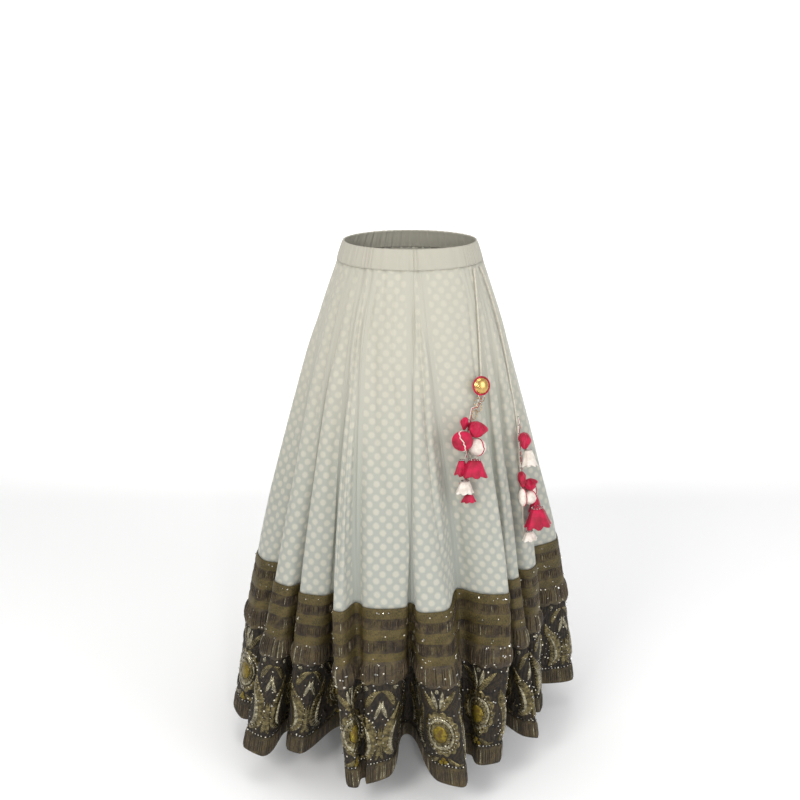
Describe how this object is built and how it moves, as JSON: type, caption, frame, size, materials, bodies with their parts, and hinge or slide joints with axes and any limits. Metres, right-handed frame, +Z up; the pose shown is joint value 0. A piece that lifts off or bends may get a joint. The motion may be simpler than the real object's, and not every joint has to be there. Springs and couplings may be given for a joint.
{
  "type": "lehenga skirt",
  "caption": "Floor-length flared lehenga skirt of dotted ivory cloth gathered to a waistband, with a dark embroidered border, lace bands and two drawstring ends with tassels.",
  "frame": {"origin": "centre of the waist opening at the waistband's top edge, where the wearer's waist holds the skirt", "axes": "+Z up; the front faces -Y and +X is towards the wearer's left"},
  "size_m": [0.7505, 0.7424, 1.001],
  "materials": {
    "ivory_dotted_cloth": "semi-sheer ivory with small woven dots",
    "embroidered_border": "near-black net with antique gold floral embroidery",
    "antique_gold_lace": "olive-gold metallic ribbons and brown bugle bands",
    "hem_lace": "brown and antique gold hem lace",
    "cord": "twisted ivory drawstring cord",
    "gilt_button": "polished domed gilt with a pink rim",
    "pink_silk": "stuffed crimson-pink silk",
    "ivory_pompom": "soft ivory stuffed cloth"
  },
  "bodies": {
    "root": {"border_ground_01": "embroidered_border", "border_ground_02": "embroidered_border", "border_ground_03": "embroidered_border", "border_ground_04": "embroidered_border", "border_ground_05": "embroidered_border", "border_ground_06": "embroidered_border", "border_ground_07": "embroidered_border", "border_ground_08": "embroidered_border", "border_ground_09": "embroidered_border", "border_lace_01": "antique_gold_lace", "border_lace_02": "antique_gold_lace", "border_lace_03": "antique_gold_lace", "border_lace_04": "antique_gold_lace", "border_lace_05": "antique_gold_lace", "border_lace_06": "antique_gold_lace", "dori_button": "gilt_button", "dori_front": "cord", "dori_side": "cord", "hem_trim_01": "hem_lace", "hem_trim_02": "hem_lace", "hem_trim_03": "hem_lace", "hem_trim_04": "hem_lace", "hem_trim_05": "hem_lace", "hem_trim_06": "hem_lace", "kali_01": "ivory_dotted_cloth", "kali_02": "ivory_dotted_cloth", "kali_03": "ivory_dotted_cloth", "kali_04": "ivory_dotted_cloth", "kali_05": "ivory_dotted_cloth", "kali_06": "ivory_dotted_cloth", "kali_07": "ivory_dotted_cloth", "kali_08": "ivory_dotted_cloth", "kali_09": "ivory_dotted_cloth", "kali_10": "ivory_dotted_cloth", "kali_11": "ivory_dotted_cloth", "kali_12": "ivory_dotted_cloth", "kali_13": "ivory_dotted_cloth", "kali_14": "ivory_dotted_cloth", "kali_15": "ivory_dotted_cloth", "kali_16": "ivory_dotted_cloth", "kali_17": "ivory_dotted_cloth", "kali_18": "ivory_dotted_cloth", "latkan_front_ball": "pink_silk", "latkan_front_bell": "pink_silk", "latkan_front_petal_left": "pink_silk", "latkan_front_petal_right": "pink_silk", "latkan_front_pompom": "ivory_pompom", "latkan_front_tip": "pink_silk", "latkan_front_white_bell": "ivory_pompom", "latkan_side_bell": "pink_silk", "latkan_side_bud": "pink_silk", "latkan_side_flower": "ivory_pompom", "latkan_side_petal_left": "pink_silk", "latkan_side_petal_right": "pink_silk", "latkan_side_pompom": "ivory_pompom", "latkan_side_pompom_left": "ivory_pompom", "latkan_side_pompom_right": "ivory_pompom", "latkan_side_white_bell": "ivory_pompom", "waistband": "ivory_dotted_cloth"}
  },
  "joints": []
}
